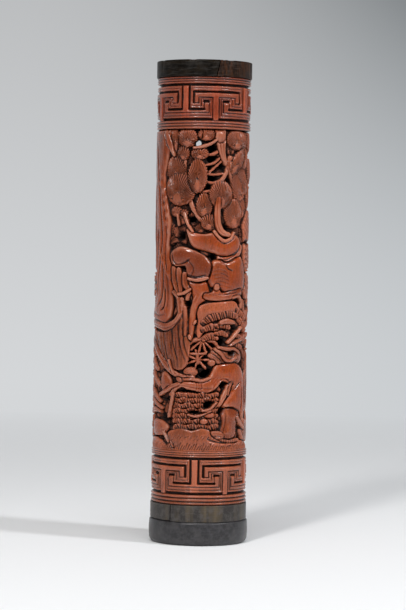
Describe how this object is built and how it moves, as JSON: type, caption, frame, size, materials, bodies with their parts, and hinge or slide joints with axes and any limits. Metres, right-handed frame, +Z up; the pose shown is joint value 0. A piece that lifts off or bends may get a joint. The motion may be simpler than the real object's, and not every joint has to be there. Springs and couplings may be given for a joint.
{
  "type": "scent holder",
  "caption": "Slender carved and pierced bamboo tube with key-fret end bands and dark trim, on a turned foot with a stick socket and under a small vented lid.",
  "frame": {"origin": "centre of the foot's flat underside", "axes": "+Z up along the tube, -Y towards the front that the picture shows"},
  "size_m": [0.0442, 0.0442, 0.2131],
  "materials": {
    "bamboo": "polished, red brown patina",
    "dark_trim": "polished dark horn or hardwood",
    "foot_trim": "worn dark horn or hardwood",
    "ferrule": "dull, smoked"
  },
  "bodies": {
    "base": {"foot": "foot_trim", "incense_socket": "ferrule"},
    "tube": {"bamboo_tube": "bamboo", "lower_band_1": "dark_trim", "lower_band_2": "dark_trim", "lower_band_3": "dark_trim", "upper_band_1": "dark_trim", "upper_band_2": "dark_trim", "upper_band_3": "dark_trim"},
    "lid": {"lid": "dark_trim"}
  },
  "joints": [
    {"name": "tube_lift", "type": "slide", "parent": "base", "child": "tube", "axis": [0, 0, 1], "range_m": [0, 0.04]},
    {"name": "lid_lift", "type": "slide", "parent": "tube", "child": "lid", "axis": [0, 0, 1], "range_m": [0, 0.04]}
  ]
}
